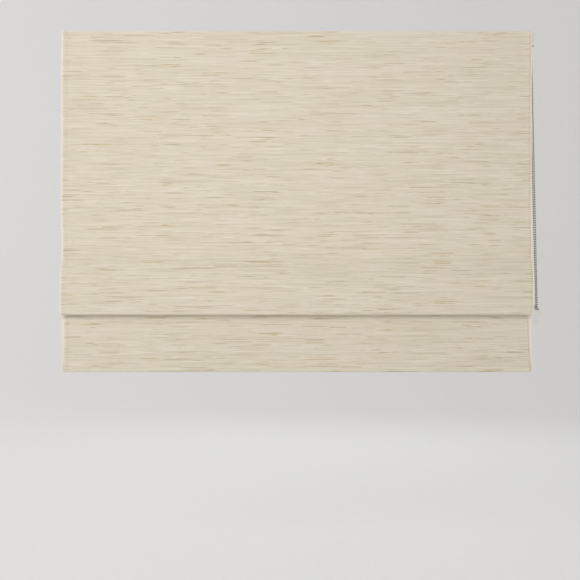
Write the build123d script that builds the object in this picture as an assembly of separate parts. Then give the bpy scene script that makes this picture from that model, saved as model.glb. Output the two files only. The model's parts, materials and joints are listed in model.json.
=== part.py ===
from build123d import *
import math
import os

# Roman blind for face fixing on a wall, shown with its lowest fold drawn up.
# X runs along the headrail, the wall is the plane Y = 0, the room is on the -Y side and Z is up.
# The origin is on the wall, midway between the two screw holes of the centre bracket.
# All sizes are in millimetres.

# Cloth
blind_width = 1200.0
panel_drop = 289.0
flap_drop = 279.0
face_thickness = 1.0
lining_thickness = 0.6
cloth_gap = 0.2
face_edge_inset = 6.0
cloth_above_rail = 3.0
fold_reach = 22.0
fold_turn_radius = 4.2
fold_slack = 10.7
turn_gap = 0.6
hem_pocket_height = 40.0
hem_return = 8.0
hem_seam = 6.0

# Rods and cord guides
rod_radius = 2.0
rod_end_inset = 8.0
pocket_clearance = 0.2
pocket_wall = 0.6
pocket_band = 0.5
pocket_band_height = 10.0
pocket_notch = 9.0
pocket_end_gap = 0.5
cap_length = 7.0
cap_wall = 0.9
cap_end = 1.5
press_fit = 0.05
guide_wall = 1.2
guide_half_width = 3.0
guide_web_half = 1.4
guide_mouth = 1.4
guide_sleeve_radius = 2.6
stack_pitch = 12.0
guide_end_gap = 0.15

# Lift cords
cord_radius = 0.7
cord_hole_clearance = 0.7
cord_inset = 120.0
cord_end_gap = 0.5
adjuster_radius = 3.2
adjuster_length = 12.0
adjuster_end = 3.0
adjuster_corner = 1.0

# Bottom bar
bar_thickness = 3.0
bar_height = 24.0
bar_end_inset = 10.0
bar_lift = 5.0
bar_corner = 1.0
bar_gap = 0.2
bar_cap = 2.5

# Headrail
rail_depth = 44.0
rail_height = 26.0
rail_wall = 1.4
rail_lip = 3.0
rib_height = 4.0
rib_thickness = 1.2
rib_flange = 3.2
rib_inset = 7.0
rail_left_inset = 10.0
rail_right_inset = 26.0
tape_thickness = 0.8
tape_height = 20.0
tape_rise = 2.0
tape_inset = 6.0

# Wall brackets
bracket_thickness = 2.0
bracket_width = 30.0
bracket_gap = 1.0
bracket_hole_radius = 2.4
bracket_hole_spacing = 14.0
bracket_inset = 80.0
bracket_corner = 4.0
hook_foot = 1.2
hook_gap = 0.3
hook_play = 0.4
clip_thickness = 0.8
clip_width = 18.0
clip_pad = 9.0

# Drive
shaft_side = 6.0
shaft_clearance = 0.1
shaft_chamfer = 0.5
shaft_start = 2.0
shaft_height = 1.0
drum_rim = 2.35
drum_floor_gap = 1.0
drum_gap = 0.05
drum_flange = 1.5
drum_length = 40.0
journal_radius = 5.0
running_clearance = 0.1
end_play = 0.3
journal_stand = 0.6
cradle_wall = 2.0
cradle_side_gap = 0.2
bush_radius = 6.0
bush_length = 9.0
bush_start = 1.0
bush_bore_start = 0.5
end_cap_thickness = 2.0
end_cap_corner = 2.0
plug_clearance = 0.1
plug_length = 12.0

# Control unit and chain
chain_radius = 1.6
bead_radius = 2.25
bead_pitch = 6.0
sprocket_width = 6.0
sprocket_overhang = 1.0
sprocket_rim = 0.4
bead_clearance = 0.15
hub_length = 5.0
chain_clearance = 0.5
housing_wall = 1.6
housing_rise = 4.0
chain_room = 0.8
housing_cloth_gap = 0.6
housing_corner = 3.0
boss_clearance = 0.6
boss_end_gap = 1.0
cover_length = 11.0
cover_room = 2.7
cover_gap = 0.3
cover_ring_wall = 1.6
journal_seat = 0.8
spring_wall = 1.1
spring_end_gap = 1.0
spring_tang = 2.4
chain_drop = 704.0
chain_outward = 19.0
joiner_length = 10.0
joiner_wall = 1.0
joiner_clearance = 0.1
joiner_height = 0.9

# Chain tensioner
tensioner_width = 13.0
tensioner_height = 50.0
tensioner_cage_height = 30.0
tensioner_back = 2.5
tensioner_depth = 26.0
tensioner_wall = 1.6
tensioner_axis_depth = 14.0
tensioner_turn_radius = 6.5
tensioner_hole_radius = 1.9
tensioner_hole_spacing = 40.0
tensioner_corner = 7.0
tensioner_plate_corner = 4.0

# Places along X
cord_places = {
    "left": -(blind_width / 2 - cord_inset),
    "centre": 0.0,
    "right": blind_width / 2 - cord_inset,
}
bracket_places = {
    "left": -(blind_width / 2 - bracket_inset),
    "centre": 0.0,
    "right": blind_width / 2 - bracket_inset,
}
rail_left = -(blind_width / 2 - rail_left_inset)
rail_right = blind_width / 2 - rail_right_inset
sprocket_x = blind_width / 2 + sprocket_overhang
face_half = blind_width / 2 - face_edge_inset
lining_half = blind_width / 2

# Places along Y, from the wall forward
rail_back = -(bracket_thickness + bracket_gap)
rail_front = rail_back - rail_depth
lining_back = rail_front - 2 * tape_thickness
lining_front = lining_back - lining_thickness
face_back = lining_front - cloth_gap
face_front = face_back - face_thickness
pocket_radius = rod_radius + pocket_clearance + pocket_wall
rod_y = lining_back + pocket_radius + 0.2
clip_radius = rod_radius + guide_wall
cord_y = rod_y + clip_radius + guide_sleeve_radius
drum_flange_radius = rail_height / 2 - rail_wall - cradle_wall - drum_floor_gap + shaft_height
drum_core_radius = drum_flange_radius - drum_rim
shaft_y = cord_y + cord_radius + drum_gap + drum_core_radius

# The chain wheel has as many beads as fit between the shaft and the control unit's front wall.
housing_front = lining_back + housing_cloth_gap
wheel_room = shaft_y - housing_front - housing_wall - chain_room - bead_radius
sprocket_beads = math.floor(2 * math.pi * wheel_room / bead_pitch)
sprocket_radius = sprocket_beads * bead_pitch / (2 * math.pi)

# Places along Z
rail_top = rail_height / 2
rail_bottom = -rail_height / 2
rib_top = rail_top + rib_height
cloth_top = rib_top + cloth_above_rail
upper_rod_z = cloth_top - panel_drop
middle_rod_z = upper_rod_z - panel_drop
lower_rod_z = middle_rod_z - stack_pitch
fold_bottom_z = middle_rod_z - (panel_drop + stack_pitch - fold_slack) / 2
hem_z = lower_rod_z - flap_drop


def block(x, y, z):
    """A box between two X values, two Y values and two Z values."""
    size = [abs(b - a) for a, b in (x, y, z)]
    middle = [(a + b) / 2 for a, b in (x, y, z)]
    return Pos(*middle) * Box(*size)


def round_bar(x, y, z, radius):
    """A cylinder along X, between two X values."""
    length = abs(x[1] - x[0])
    return Pos((x[0] + x[1]) / 2, y, z) * Rot(0, 90, 0) * Cylinder(radius, length)


def round_post(x, y, z, radius):
    """A cylinder along Z, between two Z values."""
    return Pos(x, y, (z[0] + z[1]) / 2) * Cylinder(radius, abs(z[1] - z[0]))


def round_pin(x, y, z, radius):
    """A cylinder along Y, between two Y values."""
    length = abs(y[1] - y[0])
    return Pos(x, (y[0] + y[1]) / 2, z) * Rot(90, 0, 0) * Cylinder(radius, length)


def along_x(sketch, x):
    """A section drawn with Y across and Z up, extruded between two X values."""
    section = Plane(origin=(x[0], 0, 0), x_dir=(0, 1, 0), z_dir=(1, 0, 0)) * sketch
    return extrude(section, amount=x[1] - x[0], dir=(1, 0, 0))


def area(y, z):
    """A rectangle of a section, between two Y values and two Z values."""
    middle = Pos((y[0] + y[1]) / 2, (z[0] + z[1]) / 2)
    return middle * Rectangle(abs(y[1] - y[0]), abs(z[1] - z[0]))


def ribbon(points, radii, thickness):
    """The section of a bent sheet, from the corners of its middle line and their bend radii."""
    return trace(FilletPolyline(*points, radius=radii), line_width=thickness)


def parallel(points, distance):
    """The corners of a line that runs beside another one, on its left for a positive distance."""
    normals = []
    for (y0, z0), (y1, z1) in zip(points, points[1:]):
        length = math.hypot(y1 - y0, z1 - z0)
        normals.append((-(z1 - z0) / length, (y1 - y0) / length))
    shifted = []
    for i, (y, z) in enumerate(points):
        before = normals[max(i - 1, 0)]
        after = normals[min(i, len(normals) - 1)]
        share = distance / (1 + before[0] * after[0] + before[1] * after[1])
        shifted.append((y + share * (before[0] + after[0]), z + share * (before[1] + after[1])))
    return shifted


# Headrail ---------------------------------------------------------------------------------------
def headrail():
    """Extruded channel, open below, with two hooked ribs along its top for the brackets."""
    outside = area((rail_front, rail_back), (rail_bottom, rail_top))
    inside = area(
        (rail_front + rail_wall, rail_back - rail_wall),
        (rail_bottom + rail_wall, rail_top - rail_wall),
    )
    lips = rail_wall + rail_lip
    slot = area((rail_front + lips, rail_back - lips), (rail_bottom - 1, 0))
    section = outside - inside - slot
    flange_z = (rib_top - rib_thickness, rib_top)
    for wall_y, inward in ((rail_front + rib_inset, 1), (rail_back - rib_inset, -1)):
        section += area((wall_y, wall_y + inward * rib_thickness), (rail_top, rib_top))
        reach = wall_y + inward * (rib_thickness + rib_flange)
        section += area((wall_y, reach), flange_z)
    return along_x(section, (rail_left, rail_right))


def rail_tape(y_back):
    """One half of the hook and loop fastening along the front of the headrail."""
    x = (rail_left + tape_inset, rail_right - tape_inset)
    z = (tape_rise - tape_height / 2, tape_rise + tape_height / 2)
    return block(x, (y_back - tape_thickness, y_back), z)


def wall_bracket(x):
    """Bent steel bracket: a plate on the wall, an arm over the headrail and a hook for its front rib."""
    across = (x - bracket_width / 2, x + bracket_width / 2)
    arm_z = (rib_top, rib_top + bracket_thickness)
    flange_edge = rail_front + rib_inset + rib_thickness + rib_flange
    tab_y = (flange_edge + hook_gap, flange_edge + hook_gap + bracket_thickness)
    foot_top = rib_top - rib_thickness
    plate = block(across, (-bracket_thickness, 0), (rail_bottom, arm_z[1]))
    arm = block(across, (tab_y[0], 0), arm_z)
    tab = block(across, tab_y, (foot_top - hook_foot, arm_z[1]))
    foot_y = (flange_edge - rib_flange + hook_play, tab_y[1])
    foot = block(across, foot_y, (foot_top - hook_foot, foot_top))
    body = plate + arm + tab + foot
    lower = body.edges().filter_by(Axis.Y).group_by(Axis.Z)[0]
    body = fillet(lower, bracket_corner)
    for z in (-bracket_hole_spacing / 2, bracket_hole_spacing / 2):
        body -= round_pin(x, (-bracket_thickness - 1, 1), z, bracket_hole_radius)
    return body


def bracket_clip(x):
    """Spring steel clip under the bracket's arm, which snaps under the headrail's rear rib."""
    across = (x - clip_width / 2, x + clip_width / 2)
    flange_edge = rail_back - rib_inset - rib_thickness - rib_flange
    web_y = (flange_edge - hook_gap - clip_thickness, flange_edge - hook_gap)
    foot_top = rib_top - rib_thickness
    pad = block(across, (web_y[0] - clip_pad, web_y[1]), (rib_top - clip_thickness, rib_top))
    web = block(across, web_y, (foot_top - clip_thickness, rib_top))
    foot_y = (web_y[0], flange_edge + rib_flange - hook_play)
    foot = block(across, foot_y, (foot_top - clip_thickness, foot_top))
    return pad + web + foot


def rail_plug(x):
    """A block that pushes into the headrail's channel."""
    margin = rail_wall + plug_clearance
    y = (rail_front + margin, rail_back - margin)
    return block(x, y, (rail_bottom + margin, rail_top - margin))


def left_end_cap():
    """Moulded cap that plugs the left end of the headrail and carries the shaft's bush."""
    plate_x = (rail_left - end_cap_thickness, rail_left)
    plate = block(plate_x, (rail_front, rail_back), (rail_bottom, rib_top))
    plate = fillet(plate.edges().filter_by(Axis.X), end_cap_corner)
    plug = rail_plug((rail_left, rail_left + plug_length))
    bore_x = (rail_left + bush_bore_start, rail_left + plug_length + 1)
    return plate + plug - round_bar(bore_x, shaft_y, shaft_height, bush_radius + running_clearance)


# Drive ------------------------------------------------------------------------------------------
def shaft_bore(x):
    """The square hole that the drive shaft passes through with a sliding fit."""
    half = shaft_side / 2 + shaft_clearance
    return block(x, (shaft_y - half, shaft_y + half), (shaft_height - half, shaft_height + half))


def drive_shaft():
    half = shaft_side / 2
    x = (rail_left + shaft_start, sprocket_x + sprocket_width / 2)
    shaft = block(x, (shaft_y - half, shaft_y + half), (shaft_height - half, shaft_height + half))
    return chamfer(shaft.edges().filter_by(Axis.X), shaft_chamfer)


def shaft_bush():
    """Round bush on the shaft's left end, which turns in the end cap."""
    x = (rail_left + bush_start, rail_left + bush_start + bush_length)
    return round_bar(x, shaft_y, shaft_height, bush_radius) - shaft_bore((x[0] - 1, x[1] + 1))


def cord_cradle(x):
    """Saddle inside the headrail, whose open bearings hold a drum and whose floor lets the cord out."""
    half = drum_length / 2 + end_play + cradle_wall
    y = (rail_front + rail_wall + cradle_side_gap, rail_back - rail_wall - cradle_side_gap)
    floor_z = (rail_bottom + rail_wall, rail_bottom + rail_wall + cradle_wall)
    wall_top = rail_top - rail_wall - cradle_side_gap
    body = block((x - half, x + half), y, floor_z)
    bearing = journal_radius + running_clearance
    for side in (-1, 1):
        wall_x = (x + side * (half - cradle_wall), x + side * half)
        wall = block(wall_x, y, (floor_z[0], wall_top))
        cut_x = (x + side * (half - cradle_wall - 1), x + side * (half + 1))
        wall -= round_bar(cut_x, shaft_y, shaft_height, bearing)
        wall -= block(cut_x, (shaft_y - bearing, shaft_y + bearing), (shaft_height, wall_top + 1))
        body += wall
    exit_radius = cord_radius + cord_hole_clearance
    return body - round_post(x, cord_y, (floor_z[0] - 1, floor_z[1] + 1), exit_radius)


def cord_drum(x):
    """Flanged drum that winds one lift cord, with a journal at each end and a square bore."""
    half = drum_length / 2
    body = round_bar((x - half, x + half), shaft_y, shaft_height, drum_core_radius)
    for side in (-1, 1):
        flange_x = (x + side * (half - drum_flange), x + side * half)
        body += round_bar(flange_x, shaft_y, shaft_height, drum_flange_radius)
    end = half + end_play + cradle_wall + journal_stand
    body += round_bar((x - end, x + end), shaft_y, shaft_height, journal_radius)
    return body - shaft_bore((x - end - 1, x + end + 1))


# Control unit -----------------------------------------------------------------------------------
housing_y = (housing_front, rail_back)
housing_z = (rail_bottom - housing_rise, rib_top)
cover_end = sprocket_x + sprocket_width / 2 + cover_room
cover_x = (cover_end - cover_length, cover_end)
hub_start = sprocket_x - sprocket_width / 2 - hub_length
boss_radius = shaft_side / 2 * math.sqrt(2) + boss_clearance + housing_wall


def housing_box(x):
    box = block(x, housing_y, housing_z)
    return fillet(box.edges().filter_by(Axis.X), housing_corner)


def housing_hollow(x):
    """The room inside the control unit, which is open at the bottom where the chain leaves."""
    y = (housing_y[0] + housing_wall, housing_y[1] - housing_wall)
    room = block(x, y, (housing_z[0] - 1, housing_z[1] - housing_wall))
    upper_edges = room.edges().filter_by(Axis.X).group_by(Axis.Z)[-1]
    return fillet(upper_edges, housing_corner - housing_wall)


def control_housing():
    """Inner shell of the control unit, with a tongue that plugs the headrail and the clutch's boss."""
    body = housing_box((rail_right, cover_x[0]))
    floor = block((rail_right, cover_x[0]), housing_y, (housing_z[0], housing_z[0] + housing_wall))
    floor = floor & body
    body -= housing_hollow((rail_right + housing_wall, cover_x[0] + 1))
    body += floor
    body += rail_plug((rail_right - plug_length, rail_right))
    body += round_bar((rail_right, hub_start - boss_end_gap), shaft_y, shaft_height, boss_radius)
    bore_x = (rail_right - plug_length - 1, cover_x[0])
    return body - round_bar(bore_x, shaft_y, shaft_height, boss_radius - housing_wall)


def clutch_spring():
    """Close-wound wrap spring on the boss, with a bent tang at each end."""
    x = (rail_right + housing_wall + spring_end_gap, hub_start - boss_end_gap - spring_end_gap)
    inner = boss_radius + press_fit
    outer = inner + spring_wall
    body = round_bar(x, shaft_y, shaft_height, outer)
    body -= round_bar((x[0] - 1, x[1] + 1), shaft_y, shaft_height, inner)
    for side, tang_x in ((1, x[0]), (-1, x[1])):
        tang = (tang_x, tang_x + side * spring_wall)
        reach = (shaft_height + inner + spring_wall / 2, shaft_height + outer + spring_tang)
        body += block(tang, (shaft_y - spring_wall / 2, shaft_y + spring_wall / 2), reach)
    return body


def sprocket():
    """Chain wheel with a groove and a pocket for each bead, a hub on the shaft and an outer journal."""
    x = (sprocket_x - sprocket_width / 2, sprocket_x + sprocket_width / 2)
    body = round_bar(x, shaft_y, shaft_height, sprocket_radius + sprocket_rim)
    groove = Pos(sprocket_x, shaft_y, shaft_height) * Rot(0, 90, 0) * Torus(
        sprocket_radius, chain_radius + chain_clearance
    )
    body -= groove
    for i in range(sprocket_beads):
        turn = 2 * math.pi * (i + 0.5) / sprocket_beads
        y = shaft_y + sprocket_radius * math.cos(turn)
        z = shaft_height + sprocket_radius * math.sin(turn)
        body -= Pos(sprocket_x, y, z) * Sphere(bead_radius + bead_clearance)
    body += round_bar((hub_start, x[0]), shaft_y, shaft_height, boss_radius)
    journal_end = cover_end - housing_wall + journal_seat
    body += round_bar((x[1], journal_end), shaft_y, shaft_height, journal_radius)
    return body - shaft_bore((hub_start - 1, x[1]))


def control_cover():
    """Outer shell of the control unit, over the chain wheel, with a bearing ring for its journal."""
    body = housing_box(cover_x) - housing_hollow((cover_x[0] - 1, cover_x[1] - housing_wall))
    ring_x = (sprocket_x + sprocket_width / 2 + cover_gap, cover_end - housing_wall)
    body += round_bar(ring_x, shaft_y, shaft_height, journal_radius + cover_ring_wall)
    bore_x = (ring_x[0] - 1, cover_end - housing_wall + journal_seat + running_clearance)
    return body - round_bar(bore_x, shaft_y, shaft_height, journal_radius + running_clearance)


# Chain ------------------------------------------------------------------------------------------
chain_top = Vector(sprocket_x, shaft_y, shaft_height)
chain_bottom = Vector(sprocket_x + chain_outward, -tensioner_axis_depth, shaft_height - chain_drop)


def chain_plane():
    """The plane that the chain's loop lies in, with its own Y axis pointing back up to the sprocket."""
    up = (chain_top - chain_bottom).normalized()
    rearward = Vector(0, 1, 0)
    rearward = (rearward - up * rearward.dot(up)).normalized()
    return Plane(origin=chain_top, x_dir=rearward, z_dir=rearward.cross(up))


def chain_loop():
    """The belt-shaped line round the sprocket and the tensioner's post."""
    length = (chain_top - chain_bottom).length
    lean = math.asin((sprocket_radius - tensioner_turn_radius) / length)
    across, down = math.cos(lean), math.sin(lean)
    upper = [(side * sprocket_radius * across, -sprocket_radius * down) for side in (-1, 1)]
    lower = [
        (side * tensioner_turn_radius * across, -length - tensioner_turn_radius * down)
        for side in (-1, 1)
    ]
    line = Line(lower[0], upper[0]) + ThreePointArc(upper[0], (0, sprocket_radius), upper[1])
    line += Line(upper[1], lower[1])
    line += ThreePointArc(lower[1], (0, -length - tensioner_turn_radius), lower[0])
    return chain_plane() * Wire(line.edges())


def ball_chain():
    """The endless chain, as a plain round loop as thick as its links and narrower than its beads."""
    path = chain_loop()
    start = Plane(origin=path @ 0, z_dir=path % 0)
    return sweep(start * Circle(chain_radius), path=path)


def strand_point(rear, height):
    """A point of the chain's front or rear strand, and the strand's direction, at a share of its height."""
    length = (chain_top - chain_bottom).length
    lean = math.asin((sprocket_radius - tensioner_turn_radius) / length)
    side = 1 if rear else -1
    ends = [
        (side * radius * math.cos(lean), offset - radius * math.sin(lean))
        for radius, offset in ((tensioner_turn_radius, -length), (sprocket_radius, 0.0))
    ]
    low, high = [chain_plane().from_local_coords(Vector(*end, 0)) for end in ends]
    return low + (high - low) * height, (high - low).normalized()


def chain_joiner():
    """Sleeve that joins the two ends of the chain, on its rear strand below the control unit."""
    middle, direction = strand_point(True, joiner_height)
    bore = chain_radius + joiner_clearance
    place = Plane(origin=middle - direction * (joiner_length / 2), z_dir=direction)
    outer = extrude(place * Circle(bore + joiner_wall), amount=joiner_length)
    place = Plane(origin=middle - direction * joiner_length, z_dir=direction)
    return outer - extrude(place * Circle(bore), amount=2 * joiner_length)


def chain_tensioner():
    """Clear clip screwed to the wall: a back plate, two cheeks, a front lip and the post in the loop."""
    x = chain_bottom.X
    z = chain_bottom.Z
    across = (x - tensioner_width / 2, x + tensioner_width / 2)
    plate_z = (z - tensioner_height / 2, z + tensioner_height / 2)
    cage_z = (z - tensioner_cage_height / 2, z + tensioner_cage_height / 2)
    plate = block(across, (-tensioner_back, 0), plate_z)
    plate = fillet(plate.edges().filter_by(Axis.Y), tensioner_plate_corner)
    cage = block(across, (-tensioner_depth, -tensioner_back / 2), cage_z)
    cage = fillet(cage.edges().filter_by(Axis.X).group_by(Axis.Y)[0], tensioner_corner)
    room_x = (across[0] + tensioner_wall, across[1] - tensioner_wall)
    room_y = (-tensioner_depth + tensioner_wall, -tensioner_back)
    room = block(room_x, room_y, (cage_z[0] + tensioner_wall, cage_z[1] + 1))
    lower_front = room.edges().filter_by(Axis.X).group_by(Axis.Y)[0].sort_by(Axis.Z)[0]
    room = fillet(lower_front, tensioner_corner - tensioner_wall)
    post_radius = tensioner_turn_radius - chain_radius - chain_clearance
    body = plate + (cage - room) + round_bar(across, chain_bottom.Y, z, post_radius)
    for hole_z in (z - tensioner_hole_spacing / 2, z + tensioner_hole_spacing / 2):
        body -= round_pin(x, (-tensioner_back - 1, 1), hole_z, tensioner_hole_radius)
    return body


# Rods, pockets and cord guides ------------------------------------------------------------------
rod_half = blind_width / 2 - rod_end_inset


def batten(z):
    return round_bar((-rod_half, rod_half), rod_y, z, rod_radius)


def batten_caps(z):
    """The two plastic caps on the ends of a rod."""
    caps = []
    for side in (-1, 1):
        tip = rod_half + cap_end
        cap = round_bar((side * (tip - cap_length), side * tip), rod_y, z, rod_radius + cap_wall)
        bore_x = (side * (tip - cap_length - 1), side * rod_half)
        caps.append(cap - round_bar(bore_x, rod_y, z, rod_radius + press_fit))
    return caps


def rod_pocket(z):
    """Tape sewn to the back of the lining, with a sleeve for the rod that is notched at each cord."""
    half = rod_half + cap_end - cap_length - pocket_end_gap
    band_z = (z - pocket_band_height / 2, z + pocket_band_height / 2)
    band = block((-half, half), (lining_back, lining_back + pocket_band), band_z)
    sleeve = round_bar((-half, half), rod_y, z, pocket_radius)
    body = band + sleeve - round_bar((-half - 1, half + 1), rod_y, z, rod_radius + pocket_clearance)
    reach = pocket_radius + 1
    for x in cord_places.values():
        notch_x = (x - pocket_notch / 2, x + pocket_notch / 2)
        notch_y = (lining_back + pocket_band, rod_y + reach)
        body -= block(notch_x, notch_y, (z - reach, z + reach))
    return body


def cord_guides(z):
    """Clips on a rod at each cord, each with a sleeve that the cord runs in and that stacks on the next."""
    guides = []
    half = stack_pitch / 2 - guide_end_gap
    for x in cord_places.values():
        clip_x = (x - guide_half_width, x + guide_half_width)
        clip = round_bar(clip_x, rod_y, z, clip_radius)
        web_x = (x - guide_web_half, x + guide_web_half)
        web_z = (z - guide_half_width, z + guide_half_width)
        web = block(web_x, (rod_y + rod_radius + guide_wall / 4, cord_y), web_z)
        sleeve = round_post(x, cord_y, (z - half, z + half), guide_sleeve_radius)
        cut_x = (clip_x[0] - 1, clip_x[1] + 1)
        hollow = round_bar(cut_x, rod_y, z, rod_radius + press_fit)
        mouth_y = (rod_y - clip_radius - 1, rod_y - guide_mouth)
        mouth = block(cut_x, mouth_y, (z - clip_radius - 1, z + clip_radius + 1))
        bore = round_post(x, cord_y, (z - half - 1, z + half + 1), cord_radius + cord_hole_clearance)
        guides.append(clip + web + sleeve - hollow - mouth - bore)
    return guides


def cord_adjusters():
    """Barrels that hold the ends of the lift cords, below the lowest guides."""
    top = lower_rod_z - stack_pitch / 2
    barrels = []
    for x in cord_places.values():
        barrel = round_post(x, cord_y, (top - adjuster_length, top), adjuster_radius)
        barrel = fillet(barrel.edges(), adjuster_corner)
        bore_z = (top - adjuster_length + adjuster_end, top + 1)
        barrels.append(barrel - round_post(x, cord_y, bore_z, cord_radius + running_clearance))
    return barrels


def lift_cord(x):
    """The straight run of a lift cord, from the front of its drum to its adjuster."""
    low = lower_rod_z - stack_pitch / 2 - adjuster_length + adjuster_end + cord_end_gap
    return round_post(x, cord_y, (low, shaft_height), cord_radius)


# Cloth ------------------------------------------------------------------------------------------
def flat_face(top, bottom):
    return block((-face_half, face_half), (face_front, face_back), (bottom, top))


def flat_lining(top, bottom):
    return block((-lining_half, lining_half), (lining_front, lining_back), (bottom, top))


def fold_line():
    """Corners and bend radii of the face cloth's middle line, round the drawn-up fold."""
    face_y = (face_front + face_back) / 2
    layers = face_thickness + cloth_gap + lining_thickness
    rear_y = face_front - turn_gap - face_thickness / 2
    start_y = rear_y - 2 * layers - 0.4
    bulge_y = face_y - fold_reach
    turn = 2 * fold_turn_radius
    front_foot = (bulge_y + 2.0, fold_bottom_z + fold_turn_radius)
    points = [
        (face_y, middle_rod_z),
        (face_y, middle_rod_z - 2.0),
        (start_y, middle_rod_z - stack_pitch + 2.0),
        (bulge_y, middle_rod_z - 45.0),
        (bulge_y - 1.5, middle_rod_z - 90.0),
        (front_foot[0], fold_bottom_z + face_thickness / 2),
        (front_foot[0] + turn, fold_bottom_z + face_thickness / 2),
        (rear_y - 4.5, lower_rod_z - 75.0),
        (rear_y, lower_rod_z + 0.5),
    ]
    turns = fold_turn_radius - 0.1
    return points, [1.8, 3.0, 30.0, 60.0, turns, turns, 100.0]


def face_fold():
    points, radii = fold_line()
    section = ribbon(points, radii, face_thickness)
    return along_x(section, (-face_half, face_half))


def lining_fold():
    points, radii = fold_line()
    inward = (face_thickness + lining_thickness) / 2 + cloth_gap
    points = parallel(points, inward)
    inner_bends = [1, -1, 1, 1, 1, 1, 1]
    radii = [radius - bend * inward for radius, bend in zip(radii, inner_bends)]
    section = ribbon(points, radii, lining_thickness)
    return along_x(section, (-lining_half, lining_half))


def face_flap():
    """The lowest panel of the face cloth, with its bottom hem turned up behind the bar."""
    face_y = (face_front + face_back) / 2
    pocket_y = lining_back + bar_thickness + 2 * bar_gap + face_thickness / 2
    bottom = hem_z + face_thickness / 2
    seam_y = lining_back + face_thickness / 2
    points = [
        (face_y, lower_rod_z),
        (face_y, bottom),
        (pocket_y, bottom),
        (pocket_y, hem_z + hem_pocket_height - hem_return),
        (seam_y, hem_z + hem_pocket_height),
        (seam_y, hem_z + hem_pocket_height + hem_seam),
    ]
    section = ribbon(points, [1.2, 1.2, 2.0, 2.0], face_thickness)
    return along_x(section, (-face_half, face_half))


bar_end = blind_width / 2 - bar_end_inset


def bar_length(x):
    """A stretch of the bottom bar's rounded flat section, between two X values."""
    y = (lining_back + bar_gap, lining_back + bar_gap + bar_thickness)
    bar = block(x, y, (hem_z + bar_lift, hem_z + bar_lift + bar_height))
    return fillet(bar.edges().filter_by(Axis.X), bar_corner)


def bottom_bar_caps():
    """Thin plastic caps on the two ends of the bottom bar."""
    return [bar_length((side * bar_end, side * (bar_end + bar_cap))) for side in (-1, 1)]


# Nodes ------------------------------------------------------------------------------------------
nodes = {
    "headrail": headrail(),
    "hook_tape": rail_tape(rail_front),
    "loop_tape": rail_tape(rail_front - tape_thickness),
    "left_end_cap": left_end_cap(),
    "drive_shaft": drive_shaft(),
    "shaft_bush": shaft_bush(),
    "control_housing": control_housing(),
    "control_cover": control_cover(),
    "clutch_spring": clutch_spring(),
    "chain_sprocket": sprocket(),
    "ball_chain": ball_chain(),
    "chain_joiner": chain_joiner(),
    "chain_tensioner": chain_tensioner(),
    "face_fabric_top": flat_face(cloth_top, upper_rod_z),
    "lining_top": flat_lining(cloth_top, upper_rod_z),
    "face_fabric_middle": flat_face(upper_rod_z, middle_rod_z),
    "lining_middle": flat_lining(upper_rod_z, middle_rod_z),
    "face_fabric_fold": face_fold(),
    "lining_fold": lining_fold(),
    "face_fabric_flap": face_flap(),
    "lining_flap": flat_lining(lower_rod_z, hem_z + face_thickness + 1.0),
    "cord_adjusters": cord_adjusters(),
    "bottom_bar": bar_length((-bar_end, bar_end)),
    "bottom_bar_caps": bottom_bar_caps(),
}
for name, x in bracket_places.items():
    nodes[f"wall_bracket_{name}"] = wall_bracket(x)
    nodes[f"bracket_clip_{name}"] = bracket_clip(x)
for name, x in cord_places.items():
    nodes[f"cord_cradle_{name}"] = cord_cradle(x)
    nodes[f"cord_drum_{name}"] = cord_drum(x)
    nodes[f"lift_cord_{name}"] = lift_cord(x)
for name, z in (("upper", upper_rod_z), ("middle", middle_rod_z), ("lower", lower_rod_z)):
    nodes[f"{name}_rod"] = batten(z)
    nodes[f"{name}_rod_caps"] = batten_caps(z)
    nodes[f"{name}_rod_pocket"] = rod_pocket(z)
    nodes[f"{name}_cord_guides"] = cord_guides(z)

os.makedirs("parts", exist_ok=True)
for name, shape in nodes.items():
    solids = shape if isinstance(shape, list) else [shape]
    export_step(Compound(children=[s for piece in solids for s in piece.solids()]), f"parts/{name}.step")
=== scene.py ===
import json
import math

import bpy
import numpy as np
from mathutils import Matrix, Vector

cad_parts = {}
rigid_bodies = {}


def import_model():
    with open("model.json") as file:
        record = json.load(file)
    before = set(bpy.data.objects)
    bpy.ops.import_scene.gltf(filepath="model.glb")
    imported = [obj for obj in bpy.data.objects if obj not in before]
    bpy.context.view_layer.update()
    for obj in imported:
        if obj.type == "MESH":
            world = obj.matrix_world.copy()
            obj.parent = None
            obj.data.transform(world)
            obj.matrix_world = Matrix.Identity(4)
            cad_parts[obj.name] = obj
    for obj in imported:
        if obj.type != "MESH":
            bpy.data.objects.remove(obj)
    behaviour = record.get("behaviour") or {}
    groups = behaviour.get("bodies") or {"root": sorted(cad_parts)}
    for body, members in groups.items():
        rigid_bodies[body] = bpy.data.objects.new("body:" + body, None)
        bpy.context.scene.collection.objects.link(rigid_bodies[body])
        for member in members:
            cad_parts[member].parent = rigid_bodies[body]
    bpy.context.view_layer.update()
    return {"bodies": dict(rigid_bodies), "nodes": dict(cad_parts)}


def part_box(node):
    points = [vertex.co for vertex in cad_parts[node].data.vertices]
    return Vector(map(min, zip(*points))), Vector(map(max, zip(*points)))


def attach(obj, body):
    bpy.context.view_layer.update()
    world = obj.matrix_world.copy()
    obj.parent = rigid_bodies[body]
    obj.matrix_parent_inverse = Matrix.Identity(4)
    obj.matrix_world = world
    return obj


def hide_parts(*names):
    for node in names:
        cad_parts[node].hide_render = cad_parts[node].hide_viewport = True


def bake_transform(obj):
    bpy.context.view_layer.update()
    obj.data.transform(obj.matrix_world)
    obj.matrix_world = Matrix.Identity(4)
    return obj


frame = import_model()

# Roman blind in slub cloth. Everything is in metres, in the CAD frame: X along the headrail,
# the wall at Y = 0, the room on the -Y side, Z up.

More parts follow.
